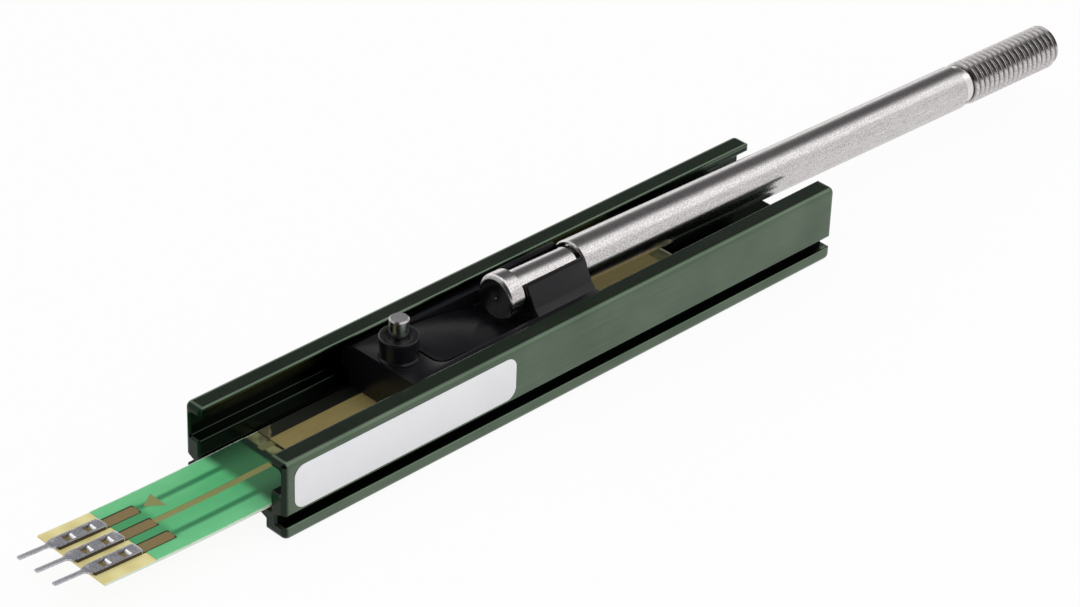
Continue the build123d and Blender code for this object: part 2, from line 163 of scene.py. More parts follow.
# Studio: white surroundings, brighter in a soft box overhead and beyond the object, with two dark flags and a
# dark part of the room towards the tail's end, which only metal and gloss mirror
studio = {
    "ambient": 0.80,
    "surroundings": 1.0,
    "box": 1.13,
    "boxEdge": 0.51,
    "boxSoftness": 0.012,
    "boxReach": 3.0,  # how much sooner the box starts beyond the object than overhead
    "belowBox": 0.75,
    "flags": (  # direction, cosine where it is darkest, cosine where it ends, level there
        ((0.60, 0.47, 0.65), 0.98, 0.77, 0.095),
        ((-0.985, 0.08, 0.08), 0.97, 0.90, 0.05),
    ),
    "darkRoom": (  # axis, where it starts, where it is full, its share before the start
        ("X", -0.24, -0.38, 0.0),
        ("Y", 0.22, 0.05, 0.4),
    ),
    "darkLevel": 0.05,
    "keyDirection": (0.10, -0.45, 0.89),
    "keyLevel": 0.20,
    "keyDistance": 600.0,
    "keySize": 250.0,
    "floorSize": 3000.0,
    "floorShader": {"Base Color": hexColour("#efefef"), "Roughness": 0.9, "Specular IOR Level": 0.1},
    "floorGlow": 0.93,
    "floorShine": 0.75,
    "floorLevel": 0.80,
    "floorLift": 0.02,
}


def makeWorld():
    world = bpy.data.worlds.new("studio")
    bpy.context.scene.world = world
    world.use_nodes = True
    tree = world.node_tree
    tree.nodes.clear()
    direction = addNode(tree, "TexCoord", {}).outputs["Generated"]
    axes = addNode(tree, "SeparateXYZ", {}, [("Vector", direction)])
    away = addNode(tree, "Math", {"operation": "MULTIPLY", 1: studio["boxReach"]}, [(0, axes.outputs["Y"])])
    height = addNode(tree, "Math", {"operation": "MAXIMUM"}, [(0, axes.outputs["Z"]), (1, away)])
    mirrored = addNode(tree, "MapRange", {
        "From Min": studio["boxEdge"] - studio["boxSoftness"],
        "From Max": studio["boxEdge"] + studio["boxSoftness"],
        "To Min": studio["belowBox"],
        "To Max": studio["box"],
    }, [("Value", height)])
    shades = []
    for towards, darkest, end, level in studio["flags"]:
        towards = Vector(towards).normalized()
        along = addNode(tree, "VectorMath", {"operation": "DOT_PRODUCT", 1: towards}, [(0, direction)])
        shades.append(addNode(
            tree, "MapRange", smooth | fromTo((end, darkest), 1) | {"To Min": 1.0, "To Max": level},
            [("Value", along)]))
    sides = []
    for name, start, full, least in studio["darkRoom"]:
        sides.append(addNode(
            tree, "MapRange", smooth | fromTo((start, full), 1) | {"To Min": least},
            [("Value", axes.outputs[name])]))
    room = addNode(tree, "Math", {"operation": "MULTIPLY"}, enumerate(sides))
    darkness = {"To Min": 1.0, "To Max": studio["darkLevel"]}
    shades.append(addNode(tree, "MapRange", darkness, [("Value", room)]))
    for shade in shades:
        mirrored = addNode(tree, "Math", {"operation": "MULTIPLY"}, [(0, mirrored), (1, shade)])
    rays = addNode(tree, "LightPath", {})
    reflected = addNode(tree, "Mix", {2: studio["ambient"]},
                        [(0, rays.outputs["Is Glossy Ray"]), (3, mirrored)])
    seen = addNode(tree, "Mix", {3: studio["surroundings"]},
                   [(0, rays.outputs["Is Camera Ray"]), (2, reflected)])
    light = addNode(tree, "Background", {"Color": (1, 1, 1, 1)}, [("Strength", seen)])
    addNode(tree, "OutputWorld", {}, [("Surface", light)])


def makeKey():
    # an area lamp of P watts at distance d gives P / (pi d)^2 of the level that a white world of 1 gives
    distance = studio["keyDistance"] * mm
    data = bpy.data.lights.new("key", "AREA")
    data.shape = "SQUARE"
    data.size = studio["keySize"] * mm
    data.energy = studio["keyLevel"] * (math.pi * distance) ** 2
    lamp = bpy.data.objects.new("key", data)
    lamp.visible_glossy = False
    middle = (cadBox[0] + cadBox[1]) / 2
    towards = Vector(studio["keyDirection"]).normalized()
    turn = towards.to_track_quat("Z", "Y").to_matrix().to_4x4()
    lamp.matrix_world = Matrix.Translation(middle + towards * distance) @ turn
    bpy.context.scene.collection.objects.link(lamp)


def makeFloor():
    shape = bmesh.new()
    bmesh.ops.create_grid(shape, x_segments=2, y_segments=2, size=studio["floorSize"] * mm / 2)
    bmesh.ops.translate(shape, verts=shape.verts, vec=(0, 0, -studio["floorLift"] * mm))
    mesh = bpy.data.meshes.new("floor")
    shape.to_mesh(mesh)
    shape.free()
    floor = bpy.data.objects.new("floor", mesh)
    bpy.context.scene.collection.objects.link(floor)
    # matt white paper, partly glowing to the eye and to metal so that it shows white and keeps the shadow
    material, tree = startMaterial("whitePaper", studio["floorShader"])[:2]
    rays = addNode(tree, "LightPath", {})
    seen = addNode(tree, "Math", {"operation": "MULTIPLY", 1: studio["floorGlow"]},
                   [(0, rays.outputs["Is Camera Ray"])])
    share = addNode(tree, "Math", {"operation": "MULTIPLY_ADD", 1: studio["floorShine"]},
                    [(0, rays.outputs["Is Glossy Ray"]), (2, seen)])
    strength = addNode(tree, "Mix", {2: 1.0, 3: studio["floorLevel"]}, [(0, rays.outputs["Is Glossy Ray"])])
    glow = addNode(tree, "Emission", {"Color": (1, 1, 1, 1)}, [("Strength", strength)])
    paper = tree.nodes["Principled BSDF"]
    mix = addNode(tree, "MixShader", {}, [(0, share), (1, paper), (2, glow)])
    tree.links.new(outputOf(mix), tree.nodes["Material Output"].inputs["Surface"])
    mesh.materials.append(material)


# Channel finish: cut is the sawn ends, inner is the inside of the walls, where the colour is painted shade
channelFinish = {
    "shader": {"Metallic": 1.0},
    "bright": "#6b7a69", "dark": "#5a6a5a", "inner": "#2c352e", "cut": "#29342b",
    "streak": (9.0, 0.06, 0.06), "fleck": 0.22, "cloud": 7.0, "contrast": (0.75, 1.25),
    "betweenWalls": (6.6, 6.45), "belowTop": (8.3, 8.15), "endFacing": (0.25, 0.6),
    "roughness": (0.16, 0.24), "innerRoughness": 0.16, "relief": (0.08, 0.006),
}


def anodisedAluminium():
    # dark green anodised extrusion, tumbled after cutting: a satin metal whose dye tints what it mirrors,
    # with fine drawing lines along it and small flecks from the tumbling, which doesn't reach the inside;
    # the darker colour inside the walls is painted shade
    finish = channelFinish
    material, tree, place = startMaterial("anodisedAluminium", finish["shader"])
    axes = addNode(tree, "SeparateXYZ", {}, [("Vector", place)])
    across = addNode(tree, "Math", {"operation": "ABSOLUTE"}, [(0, axes.outputs["Y"])])
    betweenWalls = addNode(tree, "MapRange", fromTo(finish["betweenWalls"]), [("Value", across)])
    belowTop = addNode(tree, "MapRange", fromTo(finish["belowTop"]), [("Value", axes.outputs["Z"])])
    inside = addNode(tree, "Math", {"operation": "MULTIPLY"}, [(0, betweenWalls), (1, belowTop)])
    geometry = addNode(tree, "NewGeometry", {})
    normal = addNode(tree, "SeparateXYZ", {}, [("Vector", geometry.outputs["True Normal"])])
    facing = addNode(tree, "Math", {"operation": "ABSOLUTE"}, [(0, normal.outputs["X"])])
    scales = [perMm(size) for size in finish["streak"]]
    lines = addNode(tree, "Mapping", {"Scale": scales}, [("Vector", place)])
    streak = addNode(tree, "TexNoise", {"Scale": 1.0, "Detail": 3.0, "Roughness": 0.55}, [("Vector", lines)])
    fleck = addNode(tree, "TexNoise", {"Scale": perMm(finish["fleck"]), "Detail": 4.0}, [("Vector", place)])
    cloud = addNode(tree, "TexNoise", {"Scale": perMm(finish["cloud"]), "Detail": 2.0}, [("Vector", place)])
    blend = addNode(tree, "Math", {"operation": "ADD"}, [(0, streak), (1, cloud)])
    tint = addNode(tree, "MapRange", fromTo(finish["contrast"], 1), [("Value", blend)])
    atCut = addNode(tree, "MapRange", fromTo(finish["endFacing"], 1), [("Value", facing)])
    colour = addNode(tree, "Mix", tones(finish, "bright", "dark"), [(0, tint)])
    # the inside of the walls gets a painted shade colour
    for mask, name in ((atCut, "cut"), (inside, "inner")):
        colour = addNode(tree, "Mix", tones(finish, name), [(0, mask), (6, colour)])
    satin = addNode(tree, "MapRange", {
        "From Min": noiseSpread[0], "From Max": noiseSpread[1],
        "To Min": finish["roughness"][0], "To Max": finish["roughness"][1]}, [("Value", fleck)])
    rough = addNode(tree, "Mix", {3: finish["innerRoughness"]}, [(0, inside), (2, satin)])
    relief = addNode(tree, "Math", {"operation": "ADD"}, [(0, streak), (1, fleck)])
    return endMaterial(material, finish, colour, relief, rough)


# What the finishes of the board, its mask, pads and contacts share
boardShared = {"pitch": 2.54, "bandStart": (4.4, 4.75), "band": "#203428", "cutEdge": "#dbe9d6"}

# Bare laminate: a dark band beside the mask's edge, then the part over the channel, darker for the dark
# metal beneath it and as painted shade, with print residue, then a dark line by the film's end
laminateFinish = boardShared | {
    "shader": {"Roughness": 0.42, "IOR": 1.5},
    "bare": "#ebe0a1", "bareDeep": "#ded08d", "inside": "#888a60", "residue": "#5f6447",
    "filmLine": "#2b261b", "ragged": "#e0e2c8",
    "weave": 2.8274,  # drawn coarser than the real half millimetre, so that it shows
    "patch": 1.3, "waver": 0.25, "spots": (0.42, 0.62),
    "bandEnd": (5.4, 5.65), "line": (6.58, 6.7), "lineSides": (3.3, 3.0), "lineBefore": 8.0,
    "side": (4.805, 4.825), "end": (58.6, 58.8),
    "relief": (0.2, 0.01),
}


def boardLaminate():
    # thin glass-reinforced laminate, bare: pale yellow where light comes through it, olive over the dark
    # channel, for the dark metal beneath it and as painted shade; satin, with a faint weave, print residue
    # and pale cut edges
    finish = laminateFinish
    material, tree, place = startMaterial("boardLaminate", finish["shader"])
    axes = addNode(tree, "SeparateXYZ", {}, [("Vector", place)])
    across = addNode(tree, "Math", {"operation": "ABSOLUTE"}, [(0, axes.outputs["Y"])])
    threads = [addNode(tree, "TexWave", {
        "bands_direction": axis, "Scale": perMm(finish["weave"]) / waveBands, "Distortion": 1.0,
        "Detail": 2.0}, [("Vector", place)]).outputs["Fac"] for axis in ("X", "Y")]
    weave = addNode(tree, "Math", {"operation": "MULTIPLY"}, enumerate(threads))
    patch = addNode(tree, "TexNoise", {"Scale": perMm(finish["patch"]), "Detail": 3.0, "Roughness": 0.6},
                    [("Vector", place)])
    spots = addNode(tree, "MapRange", fromTo(finish["spots"], 1), [("Value", patch)])
    # over the channel the colour is darker for the metal beneath and as painted shade, spotted with residue
    shadedAndStained = addNode(tree, "Mix", tones(finish, "residue", "inside"), [(0, spots)])
    waver = addNode(tree, "Math", {
        "operation": "MULTIPLY_ADD", 1: finish["waver"] * mm, 2: -finish["waver"] / 2 * mm}, [(0, patch)])
    along = addNode(tree, "Math", {"operation": "ADD"}, [(0, axes.outputs["X"]), (1, waver)])
    band, pastBand, pastLine, end, lineSides, side = [
        addNode(tree, "MapRange", fromTo(finish[name]), [("Value", source)])
        for name, source in (
            ("bandStart", along), ("bandEnd", along), ("line", along), ("end", along),
            ("lineSides", across), ("side", across))]
    before = addNode(tree, "Math", {"operation": "LESS_THAN", 1: finish["lineBefore"] * mm},
                     [(0, axes.outputs["X"])])
    onLine = addNode(tree, "Math", {"operation": "MULTIPLY"}, [(0, lineSides), (1, before)])
    filmLine = addNode(tree, "Math", {"operation": "MULTIPLY"}, [(0, pastLine), (1, onLine)])
    woven = addNode(tree, "Mix", tones(finish, "bareDeep", "bare"), [(0, weave)])
    banded = addNode(tree, "Mix", tones(finish, "band"), [(0, band), (6, woven)])
    colour = addNode(tree, "Mix", rgba, [(0, pastBand), (6, banded), (7, shadedAndStained)])
    for mask, name in ((filmLine, "filmLine"), (end, "ragged"), (side, "cutEdge")):
        colour = addNode(tree, "Mix", tones(finish, name), [(0, mask), (6, colour)])
    return endMaterial(material, finish, colour, weave)


# Solder mask: traceEdge is measured from the middle of a buried outer trace
maskFinish = boardShared | {
    "shader": {"Roughness": 0.34, "IOR": 1.52, "Coat Weight": 0.25, "Coat Roughness": 0.25},
    # byPads is painted shade beside the pads
    "lit": "#55b676", "litSide": "#70cb8d", "overTrace": "#348455", "byPads": "#439c62",
    # inside is darker for the channel's floor beneath and as painted shade, and shaded is deeper painted shade
    "inside": "#3f764f", "shaded": "#2a5238",
    "cloud": 2.2, "cloudShare": 0.8, "paler": (1.0, 5.5), "contrast": (0.2, 1.3), "deeper": (1.8, 4.5),
    "traceEdge": (0.55, 0.1), "padSides": (3.6, 2.8), "padEnds": (-8.6, -9.6), "channelEnd": (-0.1, 1.2),
    "grain": 0.25, "grainShare": 0.25, "raggedBy": 0.2, "cut": (4.835, 4.995),
    "relief": (0.5, 0.02),
}


def greenMask():
    # screen-printed solder mask: glossy translucent green, bright where light comes through the tail, darker
    # over the buried outer traces, painted in shade beside the pads, and dark over the channel's floor, for the
    # floor beneath it and as painted shade deepening towards the walls; a pale ragged cut along both sides
    finish = maskFinish
    material, tree, place = startMaterial("greenMask", finish["shader"])
    axes = addNode(tree, "SeparateXYZ", {}, [("Vector", place)])
    along = axes.outputs["X"]
    across = addNode(tree, "Math", {"operation": "ABSOLUTE"}, [(0, axes.outputs["Y"])])
    offset = addNode(tree, "Math", {"operation": "SUBTRACT", 1: finish["pitch"] * mm}, [(0, across)])
    distance = addNode(tree, "Math", {"operation": "ABSOLUTE"}, [(0, offset)])
    overTrace, padSides, padEnds, inChannel, band = [
        addNode(tree, "MapRange", smooth | fromTo(finish[name]), [("Value", source)])
        for name, source in (
            ("traceEdge", distance), ("padSides", across), ("padEnds", along), ("channelEnd", along),
            ("bandStart", along))]
    paler, deeper = [
        addNode(tree, "MapRange", fromTo(finish[name]), [("Value", across)]) for name in ("paler", "deeper")]
    cloud = addNode(tree, "TexNoise", {"Scale": perMm(finish["cloud"]), "Detail": 3.0}, [("Vector", place)])
    lightness = addNode(tree, "Math", {"operation": "MULTIPLY_ADD", 1: finish["cloudShare"]},
                        [(0, cloud), (2, paler)])
    tone = addNode(tree, "MapRange", fromTo(finish["contrast"], 1), [("Value", lightness)])
    # painted shade beside the pads
    byPads = addNode(tree, "Math", {"operation": "MULTIPLY"}, [(0, padSides), (1, padEnds)])
    # painted shade that deepens towards the channel's walls
    inside = addNode(tree, "Mix", tones(finish, "shaded", "inside"), [(0, deeper)])
    grain = addNode(tree, "TexNoise", {"Scale": perMm(finish["grain"]), "Detail": 2.0}, [("Vector", place)])
    ragged = addNode(tree, "Math", {"operation": "MULTIPLY_ADD", 1: finish["raggedBy"] * mm},
                     [(0, grain), (2, across)])
    cut = addNode(tree, "MapRange", fromTo(finish["cut"]), [("Value", ragged)])
    colour = addNode(tree, "Mix", tones(finish, "litSide", "lit"), [(0, tone)])
    for mask, name in ((byPads, "byPads"), (overTrace, "overTrace")):
        colour = addNode(tree, "Mix", tones(finish, name), [(0, mask), (6, colour)])
    colour = addNode(tree, "Mix", rgba, [(0, inChannel), (6, colour), (7, inside)])
    for mask, name in ((band, "band"), (cut, "cutEdge")):
        colour = addNode(tree, "Mix", tones(finish, name), [(0, mask), (6, colour)])
    height = addNode(tree, "Math", {"operation": "MULTIPLY_ADD", 1: finish["grainShare"]},
                     [(0, grain), (2, overTrace)])
    return endMaterial(material, finish, colour, height)


# Pads, the traces on the tail, and the traces inside between the mask and the film
padFinish = boardShared | {
    "shader": {"Metallic": 0.15, "Roughness": 0.45},
    "pad": "#8f7c50", "padDeep": "#7f6c43", "border": "#30281a", "trace": "#90925a", "traceInside": "#787a55",
    "padsTo": -9.4, "traceHalf": 0.39, "insideFrom": 5.0,
    "sideBorder": (0.55, 0.65), "endBorder": (-9.6, -9.5), "grain": 0.3, "relief": (0.3, 0.01),
}


def padMetal():
    # brown-gold plated copper: satin, with a dark border where the plating meets the mask
    finish = padFinish
    material, tree, place = startMaterial("padMetal", finish["shader"])
    axes = addNode(tree, "SeparateXYZ", {}, [("Vector", place)])
    along = axes.outputs["X"]
    half = finish["pitch"] / 2 * mm
    row = addNode(tree, "Math", {"operation": "WRAP", 1: half, 2: -half}, [(0, axes.outputs["Y"])])
    across = addNode(tree, "Math", {"operation": "ABSOLUTE"}, [(0, row)])
    side = addNode(tree, "MapRange", fromTo(finish["sideBorder"]), [("Value", across)])
    end = addNode(tree, "MapRange", fromTo(finish["endBorder"]), [("Value", along)])
    onPad = addNode(tree, "Math", {"operation": "LESS_THAN", 1: finish["padsTo"] * mm}, [(0, along)])
    offTrace = addNode(tree, "Math", {"operation": "GREATER_THAN", 1: finish["traceHalf"] * mm},
                       [(0, across)])
    inside = addNode(tree, "Math", {"operation": "GREATER_THAN", 1: finish["insideFrom"] * mm}, [(0, along)])
    endOnly = addNode(tree, "Math", {"operation": "MULTIPLY"}, [(0, end), (1, offTrace)])
    edge = addNode(tree, "Math", {"operation": "MAXIMUM"}, [(0, side), (1, endOnly)])
    border = addNode(tree, "Math", {"operation": "MULTIPLY"}, [(0, edge), (1, onPad)])
    grain = addNode(tree, "TexNoise", {"Scale": perMm(finish["grain"]), "Detail": 4.0}, [("Vector", place)])
    pad = addNode(tree, "Mix", tones(finish, "padDeep", "pad"), [(0, grain)])
    colour = addNode(tree, "Mix", rgba | {6: hexColour(finish["trace"])}, [(0, onPad), (7, pad)])
    for mask, name in ((border, "border"), (inside, "traceInside")):
        colour = addNode(tree, "Mix", tones(finish, name), [(0, mask), (6, colour)])
    return endMaterial(material, finish, colour, grain)


# Membrane film; goldEdge is where the metal collector beneath it ends, and rimEdge and adhesiveEdge are where
# the slanted end of the adhesive beside it meets the middle line; the rim colour there is a painted highlight
filmFinish = {
    "shader": {"Roughness": 0.38, "IOR": 1.6, "Coat Weight": 0.3, "Coat Roughness": 0.2},
    # the lightest gold is painted light towards the rod's end
    "gold": "#9f915d", "goldDeep": "#8f8050", "goldPaintedLight": "#bfae74",
    # rim is a painted highlight along the adhesive's slanted end
    "clear": "#5f5c42", "rim": "#7d7858", "beside": "#25261d", "besideFar": "#141412",
    # farther spreads painted shade over the adhesive's dark towards the slider
    "goldEdge": (2.99, 3.13), "brighter": (38.0, 47.0), "farther": (8.0, 18.0),
    "slant": 0.9, "rimEdge": (4.105, 4.355), "adhesiveEdge": (4.355, 4.655),
    "blotch": 0.9, "wander": 0.5, "spots": (0.5, 0.7), "spotShare": 0.6,
    "streak": (3.0, 0.8, 0.8), "grain": 0.35, "relief": (0.25, 0.01),
}


def brownFilm():
    # polyimide top film: amber and satin, bright over the metal collector, with painted light that makes it
    # brighter towards the rod's end, dark over the adhesive beside it, deepening in painted shade towards the
    # slider, and clear in the corner that the adhesive doesn't reach, with a painted highlight at the adhesive's
    # end
    finish = filmFinish
    material, tree, place = startMaterial("brownFilm", finish["shader"])
    axes = addNode(tree, "SeparateXYZ", {}, [("Vector", place)])
    along = axes.outputs["X"]
    across = addNode(tree, "Math", {"operation": "ABSOLUTE"}, [(0, axes.outputs["Y"])])
    blotch = addNode(tree, "TexNoise", {"Scale": perMm(finish["blotch"]), "Detail": 3.0}, [("Vector", place)])
    wander = addNode(tree, "Math", {"operation": "MULTIPLY_ADD", 1: finish["wander"] * mm},
                     [(0, blotch), (2, along)])
    slanted = addNode(tree, "Math", {"operation": "MULTIPLY_ADD", 1: -finish["slant"]},
                      [(0, across), (2, wander)])
    offGold, adhesive = [
        addNode(tree, "MapRange", smooth | fromTo(finish[name]), [("Value", source)])
        for name, source in (("goldEdge", across), ("adhesiveEdge", slanted))]
    rim, farther, brighter = [
        addNode(tree, "MapRange", fromTo(finish[name]), [("Value", source)])
        for name, source in (("rimEdge", slanted), ("farther", along), ("brighter", along))]
    spots = addNode(tree, "MapRange", fromTo(finish["spots"], 1) | {"To Max": finish["spotShare"]},
                    [("Value", blotch)])
    # painted shade deepening towards the slider
    dark = addNode(tree, "Mix", tones(finish, "besideFar", "beside"), [(0, farther)])
    # painted highlight along the adhesive's slanted end
    clear = addNode(tree, "Mix", tones(finish, "rim", "clear"), [(0, rim)])
    mottled = addNode(tree, "Mix", tones(finish, "beside"), [(0, spots), (6, clear)])
    surround = addNode(tree, "Mix", rgba, [(0, adhesive), (6, mottled), (7, dark)])
    scales = [perMm(size) for size in finish["streak"]]
    drawn = addNode(tree, "Mapping", {"Scale": scales}, [("Vector", place)])
    streak = addNode(tree, "TexNoise", {"Scale": 1.0, "Detail": 4.0}, [("Vector", drawn)])
    gold = addNode(tree, "Mix", tones(finish, "goldDeep", "gold"), [(0, streak)])
    # painted light: a lighter gold towards the rod's end
    goldWithPaintedLight = addNode(tree, "Mix", tones(finish, "goldPaintedLight"), [(0, brighter), (6, gold)])
    colour = addNode(tree, "Mix", rgba, [(0, offGold), (6, goldWithPaintedLight), (7, surround)])
    grain = addNode(tree, "TexNoise", {"Scale": perMm(finish["grain"]), "Detail": 3.0}, [("Vector", place)])
    return endMaterial(material, finish, colour, grain)


# Layers that show only as thin edges, and the wiper stud: name, two colours, roughness and grain
plainRelief = (0.3, 0.01)
plainFinishes = {
    "adhesive_film": ("clearAdhesive", "#b9b6a4", "#a8a592", 0.5, 0.4),
    "spacer_plastic": ("spacerFilm", "#3a362e", "#2c2a25", 0.5, 0.3),
    "carbon_print": ("carbonPrint", "#1a1a1b", "#242426", 0.7, 0.1),
    "silver_print": ("silverPrint", "#a9a8a2", "#8f8e88", 0.45, 0.15),
    "acetal": ("naturalAcetal", "#e3ddcd", "#d6cfbd", 0.35, 0.5),
}


def plainFinish(name, first, second, roughness, grainSize):
    # printed and film layers: a matt to satin base that varies a little from place to place
    finish = {"first": first, "second": second, "relief": plainRelief}
    material, tree, place = startMaterial(name, {"Roughness": roughness})
    grain = addNode(tree, "TexNoise", {"Scale": perMm(grainSize), "Detail": 4.0}, [("Vector", place)])
    colour = addNode(tree, "Mix", tones(finish, "second", "first"), [(0, grain)])
    return endMaterial(material, finish, colour, grain)


# Contacts: bent is the tines' slopes, rim is the crimped end's near and inner edges
contactFinish = boardShared | {
    "shader": {"Metallic": 0.7},
    # the near-white is a paler tone on the pins and a painted highlight on the bends and the rim
    "tin": "#d6d6dc", "tinDeep": "#90909a", "paleAndHighlight": "#fdfdff", "shadedSide": "#4a443c",
    "grain": 0.16, "mottle": (0.32, 0.68), "slope": (0.12, 0.3), "upright": (0.3, 0.1), "topFrom": 0.3,
    "tinesFrom": -17.4, "pin": (-19.3, -19.6), "pinShare": 0.18,
    "side": (0.58, 0.66), "nearSide": (-0.58, -0.66), "crimped": (-15.2, -14.6), "innerEnd": (-13.5, -13.42),
    "roughness": (0.26, 0.42), "highlightRoughness": 0.15, "relief": (0.4, 0.015),
}


def tinnedContact():
    # stamped contact, tin plated: satin grey with a soft crystalline mottle, a paler tone on the pins, painted
    # highlights on the tines' bends and on the rim of its crimped end, and painted shade on its long side walls
    finish = contactFinish
    material, tree, place = startMaterial("tinnedContact", finish["shader"])
    grain = addNode(tree, "TexNoise", {"Scale": perMm(finish["grain"]), "Detail": 5.0}, [("Vector", place)])
    geometry = addNode(tree, "NewGeometry", {})
    normal = addNode(tree, "SeparateXYZ", {}, [("Vector", geometry.outputs["True Normal"])])
    slope = addNode(tree, "Math", {"operation": "ABSOLUTE"}, [(0, normal.outputs["X"])])
    up = addNode(tree, "Math", {"operation": "ABSOLUTE"}, [(0, normal.outputs["Z"])])
    mottle, steep, upright = [
        addNode(tree, "MapRange", fromTo(finish[name], 1), [("Value", source)])
        for name, source in (("mottle", grain), ("slope", slope), ("upright", up))]
    onTop = addNode(tree, "Math", {"operation": "GREATER_THAN", 1: finish["topFrom"]}, [(0, up)])
    axes = addNode(tree, "SeparateXYZ", {}, [("Vector", place)])
    along = axes.outputs["X"]
    onTines = addNode(tree, "Math", {"operation": "GREATER_THAN", 1: finish["tinesFrom"] * mm}, [(0, along)])
    onPin = addNode(tree, "MapRange", fromTo(finish["pin"]) | {"To Max": finish["pinShare"]},
                    [("Value", along)])
    half = finish["pitch"] / 2 * mm
    row = addNode(tree, "Math", {"operation": "WRAP", 1: half, 2: -half}, [(0, axes.outputs["Y"])])
    across = addNode(tree, "Math", {"operation": "ABSOLUTE"}, [(0, row)])
    side, nearSide, crimped, innerEnd = [
        addNode(tree, "MapRange", fromTo(finish[name]), [("Value", source)])
        for name, source in (("side", across), ("nearSide", row), ("crimped", along), ("innerEnd", along))]
    edge = addNode(tree, "Math", {"operation": "MAXIMUM"}, [(0, nearSide), (1, innerEnd)])
    # the long side walls get painted shade
    shadedSide, bent, crimpedTop = [
        addNode(tree, "Math", {"operation": "MULTIPLY"}, enumerate(pair))
        for pair in ((upright, side), (steep, onTines), (crimped, onTop))]
    rim = addNode(tree, "Math", {"operation": "MULTIPLY"}, [(0, edge), (1, crimpedTop)])
    colour = addNode(tree, "Mix", tones(finish, "tinDeep", "tin"), [(0, mottle)])
    # painted shade on the side walls, a paler tone on the pins, painted highlights on the rim and the tines
    for mask, name in ((shadedSide, "shadedSide"), (onPin, "paleAndHighlight"), (rim, "paleAndHighlight"), (bent, "paleAndHighlight")):
        colour = addNode(tree, "Mix", tones(finish, name), [(0, mask), (6, colour)])
    satin = addNode(tree, "MapRange", {
        "From Min": noiseSpread[0], "From Max": noiseSpread[1],
        "To Min": finish["roughness"][0], "To Max": finish["roughness"][1]}, [("Value", grain)])
    paleAndHighlight = addNode(tree, "Math", {"operation": "MAXIMUM"}, [(0, bent), (1, rim)])
    rough = addNode(tree, "Mix", {3: finish["highlightRoughness"]}, [(0, paleAndHighlight), (2, satin)])
    return endMaterial(material, finish, colour, grain, rough)


# Pull rod, stations along its axis from the head's face; runOut is the radius that the thread gains in each
# millimetre at its start, and weld and seam are how near vertices are merged
rodSizes = {
    "radius": 2.4, "headLength": 1.95, "headRound": 0.5, "roundSteps": 6, "faceCone": 0.16, "dimple": 0.15,
    "neckRadius": 1.9, "neckEnd": 9.85, "grooveRadius": 1.6, "shaftStart": 10.15, "shaftEnd": 68.2,
    "edgeChamfer": 0.15, "shoulderChamfer": 0.27, "undercutRadius": 2.1,
    "threadStart": 69.15, "threadEnd": 83.7, "threadChamfer": 0.5, "runOut": 2.5,
    "pitch": 0.8, "rootRadius": 1.98, "crestRadius": 2.41, "crestFlat": 0.1, "flank": 0.265,
    "crestRound": 0.03, "stepsRound": 96, "weld": 0.002, "seam": 0.004, "endTolerance": 0.01,
    "sharpAngle": 28,
}

steelFinish = {
    "shader": {"Metallic": 1.0},
    # root, chamfer and face are painted shade, and neck is a painted highlight on the undercut
    "steel": "#f4f0f0", "steelDeep": "#beb8b8", "root": "#55524f", "neck": "#f5f1f0", "chamfer": "#c9c3c1",
    "face": "#8b8987", "faceDepth": 0.256, "rootBelow": 2.26, "neckEdge": 0.02,
    "grain": (0.2, 0.12, 0.12), "handling": (3.0, 0.3, 0.3), "handlingShare": 0.35, "contrast": (0.5, 0.85),
    "roughness": (0.24, 0.15), "relief": (0.5, 0.012),
}


